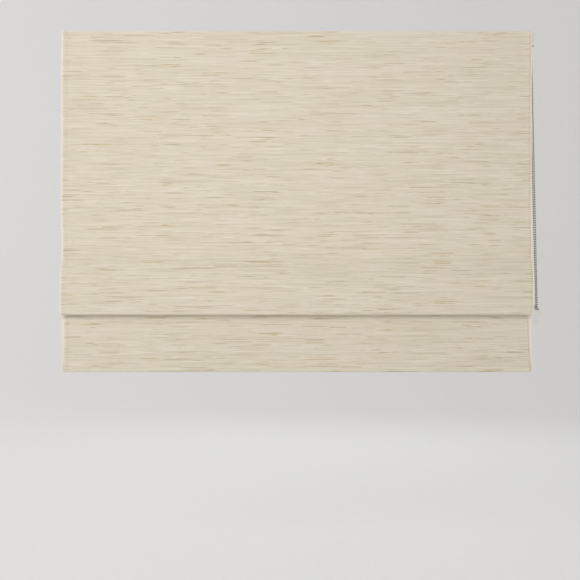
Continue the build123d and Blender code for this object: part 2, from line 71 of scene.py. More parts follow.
# Camera and studio
CAMERA_PLACE = (-0.0165, -2.85, -0.64)
CAMERA_LENS = 68.2  # millimetres, on a sensor 36 mm wide
FLOOR_Z = -1.36
STAGE_RADIUS = 5.5  # how far out the floor turns up into a wall
STAGE_BEND = 2.0  # radius of the bend between floor and wall
STAGE_TOP = 4.5
STAGE_CAP = 0.01  # radius of the flat cap at the floor's centre
STAGE_SIDES = 96
STAGE_BEND_STEPS = 12
# Area lights: name, place, target, size, power, colour, and spread in degrees
LIGHTS = (
    ("key", (-1.7, -2.6, 0.75), (0, 0, -0.4), 1.5, 34.0, (1.0, 0.99, 0.975), 180),
    ("fill", (2.2, -2.4, -0.2), (0, 0, -0.5), 2.0, 5.6, (1.0, 0.96, 0.91), 180),
    ("low", (-0.3, -1.5, -1.30), (0, 0, -0.5), 1.2, 0.8, (1.0, 0.99, 0.97), 56),
    ("back", (0.4, 2.6, 0.8), (0, 0, -0.4), 2.0, 22.0, (0.97, 0.98, 1.0), 180),
)

# Weave
WEFT_PITCH = 0.0012  # the face cloth's ribs down the blind
WARP_PITCH = 0.0008  # the face cloth's ribs across the blind
LINING_PITCH = 0.0006  # the lining's ribs, both ways
THREAD_JUMP = 7.31  # from one thread's noise to the next one's, far enough that they differ

# Cloth
FACE_THICKNESS = 0.001
LINING_THICKNESS = 0.0006
CLOTH_GAP = 0.0002  # between the face cloth and the lining
LINING_BEHIND = (FACE_THICKNESS + LINING_THICKNESS) / 2 + CLOTH_GAP
COLUMN = 0.010  # spacing of the cloth's mesh across the blind
ROW = 0.005  # spacing of the cloth's mesh down the blind
FOLD_ROW = 0.002  # the same round the drawn-up fold
HEM_ROW = 0.0025  # the same down the flap and round its hem
OUTLINE_STEP = 0.0005  # spacing of the points on the fold's outline
ARC_STEPS = 16  # pieces that a rounded corner is drawn in
RIPPLE = 0.0014  # how far the hanging cloth stands off the plane between two rods
RIPPLE_WAVES = (7.9, 17.3)  # its two waves across the blind, in radians per metre
FACE_TOP_INSET = 0.0010  # how far the face cloth stops short of the lining along the top
FACE_SPREAD = 0.0015  # how much wider each side of the face cloth hangs than its pattern
SIDE_HEM = 0.009  # width of the hem turned in along each side of the face cloth
SIDE_HEM_RISE = 0.0010  # how far the cloth stands out over that hem
SIDE_HEM_SKEW = 0.8  # under 1, so that it rises most in the half nearer the edge
SIDE_HEM_COLUMNS = 8
FACE_WAIST = 0.0042  # how far the sides of the face cloth's flap draw in below its rod
LINING_WAIST = 0.0014  # the same for the lining's flap
WAIST_FULLNESS = 0.8  # under 1, so that the waist draws in sooner than a sine does
HEM_WAIST = 0.3  # the share of the waist that is left at the hem
EDGE_WANDER = 0.0013  # how far the cut edges leave a straight line
EDGE_WAVES = (17.0, 6.0)  # the edges' two waves down the blind, in radians per metre
EDGE_POWER = 9  # how fast the waist and the wander die away from the edges inward

# Fold and hem, as the outline of the CAD cloth has them
STACK_PITCH = 0.012  # height between two rods that are drawn together
FOLD_REACH = 0.022  # how far the fold stands in front of the flat cloth
FOLD_TURN = 0.0042  # radius of the turn at the foot of the fold
TURN_GAP = 0.0006  # between the cloth of the fold's back layer and the flap
LOOP_FORMED = 0.2  # how much cloth is drawn up when its loop has its full depth
TURN_FORMED = 0.03  # how far a loop hangs when its turn has its full radius
FRONT_EASE = 0.022  # how soon below its rod the front layer hangs clear
BACK_EASE = 0.016  # how soon above its rod the back layer hangs clear
HEM_HEIGHT = 0.040
HEM_RETURN = 0.008  # the height over which the hem's back closes in to its seam
HEM_SEAM = 0.006
BAR_THICKNESS = 0.003
BAR_GAP = 0.0004  # between the bar and the cloth turned up behind it
BAR_BULGE = 0.0016  # how far the bar in the hem presses the cloth forward
TINY = 1e-12  # keeps a root off zero

# Stitching
THREAD_RADIUS = 0.00022
THREAD_TIP = 0.00002  # radius at a stitch's ends, where the thread goes into the cloth
THREAD_FULL = 0.7  # the share of a stitch that has its full radius
THREAD_SIDES = 6
THREAD_TWIST = 5000.0  # radians per metre
STITCH_PITCH = 0.0034
STITCH_LENGTH = 0.0026
POCKET_BAND = 0.0005  # thickness of the pockets' sewn edges
POCKET_STITCH_RISE = 0.0038  # from a pocket's middle to each of its two rows
POCKET_STITCH_INSET = 0.002  # from a pocket's ends to its rows' ends
HEM_STITCH_RISE = 0.0035  # from the hem's upper edge up to its row
HEM_STITCH_INSET = 0.004

# Cords and chain
CORD_RADIUS = 0.0007
CORD_ROW = 0.004  # spacing of a cord's mesh along it
CORD_SIDES = 10
BEAD_RADIUS = 0.00225
BEAD_PITCH = 0.006
BEAD_RINGS = 11
BEAD_SIDES = 12
LINK_RADIUS = 0.0006
SPROCKET_BEADS = 12
CHAIN_ARC_POINTS = 40  # points on the chain's line round the wheel, and round the tensioner
TENSIONER_POST_Y = -0.014
TENSIONER_TURN = 0.0065  # radius of the chain's turn round the tensioner's post


def middle_of(node):
    """The middle of a CAD node's box, as [x, y, z]."""
    return [(low + high) / 2 for low, high in zip(*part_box(node))]


# Places, read from the frame
face_low, face_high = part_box("face_fabric_top")
flap_low, flap_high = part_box("face_fabric_flap")
lining_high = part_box("lining_top")[1]
FACE_HALF = face_high.x + FACE_SPREAD
LINING_HALF = lining_high.x
CLOTH_Y = middle_of("face_fabric_top")[1]
LINING_BACK = lining_high.y
CLOTH_TOP = face_high.z
TAPE_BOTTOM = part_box("loop_tape")[0].z
UPPER_ROD = face_low.z
MIDDLE_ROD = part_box("face_fabric_middle")[0].z
LOWER_ROD = flap_high.z
FOLD_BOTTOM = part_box("face_fabric_fold")[0].z
HEM = flap_low.z
LINING_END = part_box("lining_flap")[0].z
BAR_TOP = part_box("bottom_bar")[1].z
PANEL = UPPER_ROD - MIDDLE_ROD

scene = bpy.context.scene


# Camera, stage and light -------------------------------------------------------------------------
def make_camera():
    """A level camera straight in front of the blind, near the height of its fold."""
    data = bpy.data.cameras.new("camera")
    data.sensor_width = 36.0
    data.lens = CAMERA_LENS
    camera = bpy.data.objects.new("camera", data)
    camera.location = CAMERA_PLACE
    camera.rotation_euler = (math.radians(90), 0, 0)
    scene.collection.objects.link(camera)
    scene.camera = camera


def make_light(name, place, target, size, power, colour, spread):
    data = bpy.data.lights.new(name, "AREA")
    data.size = size
    data.spread = math.radians(spread)
    data.energy = power
    data.color = colour
    light = bpy.data.objects.new(name, data)
    light.location = place
    light.visible_camera = False
    light.rotation_euler = (Vector(target) - Vector(place)).to_track_quat("-Z", "Y").to_euler()
    scene.collection.objects.link(light)


def make_stage():
    """A round pale floor that curves up into a wall well outside every view. It glows with painted
    light, brighter on its left.
    """
    flat = STAGE_RADIUS - STAGE_BEND
    profile = [(FLOOR_Z, STAGE_CAP), (FLOOR_Z, flat)]
    profile += [
        (FLOOR_Z + STAGE_BEND * (1 - math.cos(a)), flat + STAGE_BEND * math.sin(a))
        for a in np.linspace(0, math.pi / 2, STAGE_BEND_STEPS + 1)[1:]
    ]
    profile.append((STAGE_TOP, STAGE_RADIUS))
    vertices, faces = lathe(profile, STAGE_SIDES)
    cap = range(STAGE_SIDES - 1, -1, -1)
    upright = [(y, z, x) for x, y, z in vertices]
    floor = mesh_object("floor", upright, [*faces, cap])
    plain = Surface("floor_plain", 0.9, Emission_Strength=0.45)
    # Painted light: the floor's glow is brighter on the left and dimmer on the right, as if lit
    # from the left.
    across = plain.axis(plain.object_space((0.12, 0.12, 0.12)), "X") + 0.5
    painted_light_from_left = plain.ramp(across, [(0.2, (1.03, 1.02, 1.0)), (0.8, (0.80, 0.79, 0.77))])
    plain.tree.links.new(painted_light_from_left, plain.shader.inputs["Emission Color"])
    speck = plain.noise(plain.object_space(), 60.0)
    plain.colour(plain.ramp(speck, [(0.3, (0.34, 0.34, 0.34)), (0.7, (0.36, 0.36, 0.36))]))
    floor.data.materials.append(plain.material)


def make_studio_light():
    """A pale world that lights evenly from all round, and the soft area lights."""
    world = bpy.data.worlds.new("studio")
    world.use_nodes = True
    background = world.node_tree.nodes["Background"]
    background.inputs["Color"].default_value = (0.80, 0.80, 0.79, 1.0)
    background.inputs["Strength"].default_value = 0.60
    scene.world = world
    scene.view_settings.view_transform = "Standard"
    for light in LIGHTS:
        make_light(*light)


# Sums in a node tree -----------------------------------------------------------------------------
class Field:
    """A value in a node tree. Sums with it add nodes to the tree."""

    def __init__(self, tree, socket):
        self.tree, self.socket = tree, socket

    def sum(self, operation, *others):
        node = self.tree.nodes.new("ShaderNodeMath")
        node.operation = operation
        for value, socket in zip((self, *others), node.inputs):
            if isinstance(value, Field):
                self.tree.links.new(value.socket, socket)
            else:
                socket.default_value = value
        return Field(self.tree, node.outputs[0])

    def __add__(self, other):
        return self.sum("ADD", other)

    def __sub__(self, other):
        return self.sum("SUBTRACT", other)

    def __mul__(self, other):
        return self.sum("MULTIPLY", other)

    def __truediv__(self, other):
        return self.sum("DIVIDE", other)

    def __neg__(self):
        return self.sum("MULTIPLY", -1.0)

    def __rsub__(self, other):
        return -self + other

    __radd__ = __add__
    __rmul__ = __mul__


def root(value):
    return value.sum("SQRT") if isinstance(value, Field) else np.sqrt(value)


def growth(value):
    return value.sum("EXPONENT") if isinstance(value, Field) else np.exp(value)


def positive(value):
    return value.sum("MAXIMUM", 0.0) if isinstance(value, Field) else np.maximum(value, 0.0)


def clipped(value):
    """The value, kept between 0 and 1."""
    if isinstance(value, Field):
        return value.sum("MAXIMUM", 0.0).sum("MINIMUM", 1.0)
    return np.clip(value, 0.0, 1.0)


# Materials ---------------------------------------------------------------------------------------
class Surface:
    """A material in the making, with short ways to add its textures."""

    def __init__(self, name, roughness, **sockets):
        self.material = bpy.data.materials.new(name)
        self.material.use_nodes = True
        self.tree = self.material.node_tree
        self.shader = self.tree.nodes["Principled BSDF"]
        self.shader.inputs["Roughness"].default_value = roughness
        for socket, value in sockets.items():
            self.shader.inputs[socket.replace("_", " ")].default_value = value

    def add(self, kind, **settings):
        node = self.tree.nodes.new(kind)
        for key, value in settings.items():
            setattr(node, key, value)
        return node

    def object_space(self, scale=(1, 1, 1)):
        return self.scaled(self.add("ShaderNodeTexCoord").outputs["Object"], scale)

    def cloth_space(self, scale=(1, 1, 1)):
        """Metres across the cloth and metres down it from its top edge."""
        return self.scaled(self.add("ShaderNodeUVMap", uv_map="cloth").outputs[0], scale)

    def scaled(self, socket, scale):
        node = self.add("ShaderNodeMapping")
        node.inputs["Scale"].default_value = scale
        self.tree.links.new(socket, node.inputs["Vector"])
        return node.outputs[0]

    def axis(self, space, name):
        node = self.add("ShaderNodeSeparateXYZ")
        self.tree.links.new(space, node.inputs[0])
        return Field(self.tree, node.outputs[name])

    def noise(self, space, scale, detail=2.0, seed=0.0):
        node = self.add("ShaderNodeTexNoise", noise_dimensions="4D")
        node.inputs["Scale"].default_value = scale
        node.inputs["Detail"].default_value = detail
        node.inputs["W"].default_value = seed
        self.tree.links.new(space, node.inputs["Vector"])
        return Field(self.tree, node.outputs["Fac"])

    def threads(self, pitch, slub, seed=0.0, detail=1.0):
        """Noise that runs along each weft thread of a pitch, in slubs of a length, and starts
        afresh on the next thread."""
        space = self.cloth_space()
        row = (self.axis(space, "Y") * (1 / pitch)).sum("FLOOR")
        node = self.add("ShaderNodeCombineXYZ")
        self.tree.links.new((self.axis(space, "X") * (1 / slub)).socket, node.inputs["X"])
        self.tree.links.new((row * THREAD_JUMP).socket, node.inputs["Y"])
        return self.noise(node.outputs[0], 1.0, detail, seed=seed)

    def cells(self, space, scale):
        node = self.add("ShaderNodeTexVoronoi")
        node.inputs["Scale"].default_value = scale
        self.tree.links.new(space, node.inputs["Vector"])
        return Field(self.tree, node.outputs["Distance"])

    def waves(self, space, axis, pitch):
        """Ribs of one pitch along an axis, from -1 to 1."""
        return (self.axis(space, axis) * (2 * math.pi / pitch)).sum("SINE")

    def above(self, field, low, high):
        """0 where the field is under low, 1 over high, and smooth between."""
        node = self.add("ShaderNodeMapRange", interpolation_type="SMOOTHSTEP")
        node.inputs["From Min"].default_value = low
        node.inputs["From Max"].default_value = high
        self.tree.links.new(field.socket, node.inputs["Value"])
        return Field(self.tree, node.outputs[0])

    def ramp(self, field, stops):
        node = self.add("ShaderNodeValToRGB")
        elements = node.color_ramp.elements
        while len(elements) < len(stops):
            elements.new(0.5)
        for element, (place, colour) in zip(elements, stops):
            element.position = place
            element.color = (*colour, 1.0)
        self.tree.links.new(field.socket, node.inputs[0])
        return node.outputs[0]

    def blend(self, share, under, over):
        """A colour laid over another that comes from a node, by a share from 0 to 1."""
        node = self.add("ShaderNodeMix", data_type="RGBA")
        self.tree.links.new(share.socket, node.inputs["Factor"])
        self.tree.links.new(under, node.inputs[6])
        node.inputs[7].default_value = (*over, 1.0)
        return node.outputs[2]

    def colour(self, socket):
        self.tree.links.new(socket, self.shader.inputs["Base Color"])

    def rough(self, field):
        self.tree.links.new(field.socket, self.shader.inputs["Roughness"])

    def relief(self, height, depth, strength=1.0):
        """Bumps as deep as depth, in metres, where the height goes from 0 to 1. They come last, so
        this gives back the finished material."""
        node = self.add("ShaderNodeBump")
        node.inputs["Distance"].default_value = depth
        node.inputs["Strength"].default_value = strength
        self.tree.links.new(height.socket, node.inputs["Height"])
        self.tree.links.new(node.outputs[0], self.shader.inputs["Normal"])
        return self.material


def srgb(red, green, blue):
    """A linear colour from a display colour of 0 to 255."""
    return tuple(
        c / 12.92 if c <= 0.04045 else ((c + 0.055) / 1.055) ** 2.4
        for c in (red / 255, green / 255, blue / 255)
    )


def slub_cloth():
    """Beige weft with pale, taupe, heavy taupe and ochre slubs, each along one thread."""
    s = Surface("slub_cloth", roughness=0.88, Sheen_Weight=0.1, Sheen_Roughness=0.5)
    tone = s.threads(0.0023, 0.200, detail=3.0)
    fine = s.threads(0.0012, 0.075, seed=3.0)
    cloud = s.noise(s.cloth_space((4, 14, 1)), 1.0, seed=8.0)
    taupe = s.above(s.threads(0.0025, 0.130, seed=5.0, detail=3.0), 0.56, 0.62)
    heavy = s.above(s.threads(0.0020, 0.180, seed=14.0, detail=3.0), 0.61, 0.67)
    pale = s.above(s.threads(0.0025, 0.120, seed=11.0, detail=3.0), 0.55, 0.62)
    ochre = s.above(s.threads(0.0018, 0.140, seed=21.0, detail=3.0), 0.62, 0.67)
    base = s.ramp(
        tone * 0.65 + fine * 0.35,
        [(0.30, srgb(202, 193, 171)), (0.50, srgb(217, 208, 189)), (0.70, srgb(228, 221, 205))],
    )
    tinted = s.blend(s.above(cloud, 0.40, 0.66) * 0.18, base, srgb(222, 209, 193))
    light = s.blend(pale * 0.45, tinted, srgb(230, 223, 209))
    dark = s.blend(taupe * 0.35, light, srgb(190, 178, 152))
    slubs = s.blend(heavy * 0.56, dark, srgb(168, 152, 122))
    s.colour(s.blend(ochre * 0.78, slubs, srgb(190, 165, 116)))
    space = s.cloth_space()
    weave = s.waves(space, "Y", WEFT_PITCH) * 0.16 + s.waves(space, "X", WARP_PITCH) * 0.08
    thick = (taupe + pale) * 0.3 + (heavy + ochre) * 0.5
    return s.relief(weave + fine * 0.5 + thick, 0.0003, 0.7)


def lining_cloth():
    """Plain cream lining in a fine even weave."""
    s = Surface("lining_cloth", roughness=0.8, Sheen_Weight=0.08)
    thread = s.noise(s.cloth_space((40, 700, 1)), 1.0, detail=1.0)
    cloud = s.noise(s.cloth_space((6, 6, 1)), 1.0, seed=2.0)
    tone = thread * 0.5 + cloud * 0.5
    s.colour(s.ramp(tone, [(0.3, srgb(226, 220, 204)), (0.7, srgb(238, 233, 220))]))
    space = s.cloth_space()
    weave = s.waves(space, "Y", LINING_PITCH) + s.waves(space, "X", LINING_PITCH)
    return s.relief(weave * 0.25 + thread * 0.5, 0.00015, 0.6)


def pocket_cloth():
    """The rod pockets' tape, in the lining's weave, on CAD pieces without a cloth map."""
    s = Surface("pocket_cloth", roughness=0.8, Sheen_Weight=0.08)
    thread = s.noise(s.object_space((40, 700, 700)), 1.0, detail=1.0)
    s.colour(s.ramp(thread, [(0.3, srgb(222, 216, 200)), (0.7, srgb(235, 230, 216))]))
    space = s.object_space()
    weave = s.waves(space, "Z", LINING_PITCH) + s.waves(space, "X", LINING_PITCH)
    return s.relief(weave * 0.25 + thread * 0.5, 0.00015, 0.6)


def fastening_tape():
    """White tape with a dense pile of hooks or loops."""
    s = Surface("pile_tape", roughness=0.75)
    pile = s.cells(s.object_space(), 1300.0)
    s.colour(s.ramp(pile, [(0.2, srgb(238, 238, 234)), (0.8, srgb(206, 206, 200))]))
    return s.relief(pile, 0.0004, 0.8)


def braid(name, light, dark, pitch):
    """A braided cord: strands that cross at a slant."""
    s = Surface(name, roughness=0.6)
    space = s.object_space()
    along = s.axis(space, "Z") * (2 * math.pi / pitch)
    round_it = (s.axis(space, "X") + s.axis(space, "Y")) * (2 * math.pi / pitch)
    strands = (along + round_it).sum("SINE") * (along - round_it).sum("SINE") * 0.5 + 0.5
    s.colour(s.ramp(strands, [(0.1, dark), (0.8, light)]))
    return s.relief(strands, 0.0001, 0.6)


def sewing_thread():
    """Cream thread, with its twist along the row of stitches."""
    s = Surface("sewing_thread", roughness=0.6)
    twist = (s.axis(s.object_space(), "X") * THREAD_TWIST).sum("SINE") * 0.5 + 0.5
    s.colour(s.ramp(twist, [(0.2, srgb(214, 206, 186)), (0.8, srgb(236, 230, 214))]))
    return s.relief(twist, 0.00005)


def coated_metal(name, colour, roughness, grain=900.0):
    """Painted metal with the faint orange peel of a powder coat."""
    s = Surface(name, roughness, Specular_IOR_Level=0.5)
    peel = s.noise(s.object_space(), grain)
    tone = s.noise(s.object_space(), 12.0, detail=3.0, seed=4.0)
    lighter = tuple(min(1.0, c * 1.04) for c in colour)
    s.colour(s.ramp(tone, [(0.3, colour), (0.7, lighter)]))
    s.rough(s.noise(s.object_space(), 45.0, seed=6.0) * 0.16 + (roughness - 0.08))
    return s.relief(peel, 0.00005, 0.35)


def bare_metal(name, colour, roughness, grain):
    """Drawn, rolled or plated metal, with fine lines along one axis."""
    s = Surface(name, roughness, Metallic=1.0)
    lines = s.noise(s.object_space(grain), 1.0, detail=3.0)
    darker = tuple(c * 0.86 for c in colour)
    s.colour(s.ramp(lines, [(0.3, darker), (0.7, colour)]))
    s.rough(lines * 0.2 + (roughness - 0.1))
    return s.relief(lines, 0.00003, 0.3)


def moulded(name, colour, roughness, **sockets):
    """Moulded plastic with a fine spark-eroded texture and slight changes of tone."""
    s = Surface(name, roughness, **sockets)
    grain = s.noise(s.object_space(), 1600.0, detail=1.0)
    tone = s.noise(s.object_space(), 30.0, seed=7.0)
    darker = tuple(c * 0.95 for c in colour)
    s.colour(s.ramp(tone, [(0.3, darker), (0.7, colour)]))
    s.rough(grain * 0.1 + (roughness - 0.05))
    return s.relief(grain, 0.00004, 0.3)


def clear_moulded():
    """Plastic that lets little light through, as pale as a thin clear moulding on a pale wall."""
    return moulded(
        "clear_moulded", srgb(248, 248, 246), 0.28, Transmission_Weight=0.08, IOR=1.49
    )


def glass_rod():
    """White fibreglass with its glass strands showing along the rod."""
    s = Surface("glass_rod", roughness=0.35)
    strands = s.noise(s.object_space((6, 2600, 2600)), 1.0)
    s.colour(s.ramp(strands, [(0.3, srgb(216, 216, 206)), (0.7, srgb(238, 238, 230))]))
    return s.relief(strands, 0.00005, 0.4)


# A material for each material slot of the CAD
MATERIALS = {
    "face_fabric": slub_cloth(),
    "lining_fabric": pocket_cloth(),
    "fastening_tape": fastening_tape(),
    "lift_cord": braid("braided_cord", srgb(238, 236, 228), srgb(196, 192, 180), 0.0016),
    "white_rail": coated_metal("powder_coat", srgb(238, 238, 236), 0.42),
    "bar_aluminium": bare_metal("drawn_aluminium", srgb(206, 208, 210), 0.34, (4, 900, 900)),
    "bracket_steel": coated_metal("painted_steel", srgb(232, 232, 230), 0.38, 1200.0),
    "spring_steel": bare_metal("spring_steel", srgb(176, 176, 178), 0.25, (700, 20, 700)),
    "shaft_steel": bare_metal("zinc_plate", srgb(188, 190, 194), 0.36, (20, 900, 900)),
    "chain_metal": bare_metal("nickel_plate", srgb(172, 166, 158), 0.25, (300, 300, 300)),
    # Painted shade: this white plastic is made greyer than white, so the control housing looks to
    # lie in shade.
    "white_plastic": moulded("white_plastic", srgb(214, 213, 210), 0.4),
    "drum_plastic": moulded("grey_plastic", srgb(200, 200, 198), 0.45),
    "clear_white_plastic": moulded(
        "milky_plastic", srgb(236, 236, 230), 0.3, Subsurface_Weight=0.1
    ),
    "clear_plastic": clear_moulded(),
    "rod_fibreglass": glass_rod(),
}
LINING = lining_cloth()
THREAD = sewing_thread()


def finish_cad_nodes():
    """Gives every CAD node the material made for its slot."""
    for node in frame["nodes"].values():
        for slot in node.material_slots:
            slot.material = MATERIALS[slot.material.name.split(".")[0]]


# Meshes ------------------------------------------------------------------------------------------
def mesh_object(name, vertices, faces):
    """A piece with smooth shading, not yet on any body."""
    mesh = bpy.data.meshes.new(name)
    mesh.from_pydata([tuple(v) for v in vertices], [], [tuple(f) for f in faces])
    mesh.update()
    mesh.shade_smooth()
    piece = bpy.data.objects.new(name, mesh)
    scene.collection.objects.link(piece)
    return piece


def spaced(points, step):
    """Points at even distances along a line of (y, z) points."""
    points = np.array(points, float)
    travelled = lengths(points)
    count = max(2, round(travelled[-1] / step) + 1)
    wanted = np.linspace(0, travelled[-1], count)
    return np.column_stack([np.interp(wanted, travelled, points[:, i]) for i in (0, 1)])


def lengths(points):
    """The distance along a line at each of its points."""
    steps = np.hypot(*np.diff(points, axis=0).T)
    return np.concatenate([[0.0], np.cumsum(steps)])


def rounded(corners, radii):
    """A line through (y, z) corners, with each inner corner rounded to its radius."""
    corners = [np.array(c, float) for c in corners]
    line = [corners[0]]
    for before, corner, after, radius in zip(corners, corners[1:], corners[2:], radii):
        a = (before - corner) / np.linalg.norm(before - corner)
        b = (after - corner) / np.linalg.norm(after - corner)
        half = math.acos(np.clip(a @ b, -1, 1)) / 2
        middle = corner + (a + b) / np.linalg.norm(a + b) * radius / math.sin(half)
        start = corner + a * radius / math.tan(half)
        end = corner + b * radius / math.tan(half)
        swing = math.pi - 2 * half
        for share in np.linspace(0, 1, ARC_STEPS + 1):
            weight_a = math.sin((1 - share) * swing) / math.sin(swing)
            weight_b = math.sin(share * swing) / math.sin(swing)
            line.append(middle + (start - middle) * weight_a + (end - middle) * weight_b)
    line.append(corners[-1])
    return np.array(line)


def ripple(x, share, seed):
    """How far the cloth stands forward at a place across it and a share of the way down a panel."""
    wide, narrow = RIPPLE_WAVES
    swell = 0.5 + 0.25 * np.sin(x * wide + seed) + 0.25 * np.sin(x * narrow + 2.3 * seed)
    return RIPPLE * swell * np.sin(np.pi * np.clip(share, 0, 1)) ** 2


def columns_across(half):
    """Places across a cloth from edge to edge, closer together where its sides are hemmed."""
    near = np.linspace(0, SIDE_HEM, SIDE_HEM_COLUMNS)
    middle = np.arange(-half + SIDE_HEM + COLUMN, half - SIDE_HEM - COLUMN / 2, COLUMN)
    return np.concatenate([near - half, middle, half - near[::-1]])


def side_hem(across, half):
    """How far the cloth stands out over its turned side hems."""
    inward = np.clip((half - np.abs(across)) / SIDE_HEM, 0, 1)
    return SIDE_HEM_RISE * np.sin(np.pi * inward**SIDE_HEM_SKEW)


def drawn_in(run, drop):
    """The outline of a flap held wide by its rod and its bar: 0 at the rod and most midway."""
    share = run / drop
    return abs(math.sin(math.pi * share)) ** WAIST_FULLNESS + HEM_WAIST * min(share, 1)


def edge_wander(across, half, reach):
    """How far out the cut edges of a row lie from a straight line, at a reach down the cloth."""
    fast, slow = EDGE_WAVES
    return EDGE_WANDER * np.sin(fast * reach + 1.1) * np.sin(slow * reach + 1.3 * across / half)


def cloth(name, line, half, down, seed, step=ROW, waist=0.0, hemmed=False):
    """A cloth surface along a line of (y, z) points, half as wide each side of the middle.
    down is how far its first row is from the cloth's top edge, seed sets its ripple, and waist is
    how far the flap's sides are drawn in between its rod and its bar."""
    line = spaced(line, step)
    travelled = lengths(line)
    share = travelled / travelled[-1]
    across = columns_across(half)
    hem = side_hem(across, half) if hemmed else 0.0
    steps = np.gradient(line, axis=0)
    facing = -steps[:, 1] / np.hypot(*steps.T)  # 1 where the cloth faces forward, -1 rearward
    vertices, places = [], []
    for (y, z), run, part, front in zip(line, travelled, share, facing):
        reach = down + run
        edge = edge_wander(across, half, reach) - waist * drawn_in(run, LOWER_ROD - HEM)
        x = across + edge * (across / half) ** EDGE_POWER
        forward = ripple(across, part, seed) + hem * front
        vertices += [(xi, y - fi, z) for xi, fi in zip(x, forward)]
        places += [(a, reach) for a in across]
    columns = len(across)
    faces = [
        (i, i + columns, i + columns + 1, i + 1)
        for row in range(len(line) - 1)
        for i in range(row * columns, row * columns + columns - 1)
    ]
    piece = mesh_object(name, vertices, faces)
    layer = piece.data.uv_layers.new(name="cloth")
    corner_vertices = [v for face in faces for v in face]
    layer.data.foreach_set("uv", np.array(places)[corner_vertices].ravel())
    run = piece.data.attributes.new("run", "FLOAT", "POINT")
    run.data.foreach_set("value", np.repeat(travelled, columns))
    sharpen_border(piece.data)
    return piece


def sharpen_border(mesh):
    """Keeps the shading of a sheet's face even right up to its cut edges."""
    uses = np.zeros(len(mesh.edges), int)
    edge_of_corner = np.zeros(len(mesh.loops), int)
    mesh.loops.foreach_get("edge_index", edge_of_corner)
    np.add.at(uses, edge_of_corner, 1)
    sharp = mesh.attributes.new("sharp_edge", "BOOLEAN", "EDGE")
    sharp.data.foreach_set("value", uses == 1)


def thicken(piece, thickness, behind):
    """Gives a cloth surface its thickness, centred a distance behind the surface."""
    solid = piece.modifiers.new("thickness", "SOLIDIFY")
    solid.thickness = thickness
    solid.offset = -2 * behind / thickness


# Folding -----------------------------------------------------------------------------------------
def gathered(panel, upper_shift, lower_shift):
    """How far a panel is drawn up, from 0 when its rods are as far apart as its cloth is long."""
    apart = panel["upper"] - panel["lower"] + (upper_shift - lower_shift)
    return clipped((panel["length"] - apart) * (1 / LOOP_FORMED))


def hanging_loop(run, panel, upper_shift, lower_shift, reach):
    """Where the cloth of a panel hangs when its rods come together: (how far forward, height).
    run is the distance down the panel, and reach is how far forward the back layer hangs."""
    upper = panel["upper"] + upper_shift
    lower = panel["lower"] + lower_shift
    hang = (panel["length"] - (upper - lower)) * 0.5
    formed = clipped(hang / TURN_FORMED)
    before_turn = (panel["length"] - hang) - run
    bend = formed * FOLD_TURN
    distance = root(before_turn * before_turn + bend * bend + TINY)
    side = before_turn / distance
    clear_above = 1.0 - growth(positive(run) * (-1 / FRONT_EASE))
    clear_below = 1.0 - growth(positive(panel["length"] - run) * (-1 / BACK_EASE))
    front_share = clear_above * (1.0 + side) * 0.5
    back_share = clear_below * (1.0 - side) * 0.5
    forward = front_share * (reach + panel["depth"]) + back_share * reach
    return formed * forward, (upper + lower - panel["length"]) * 0.5 + distance


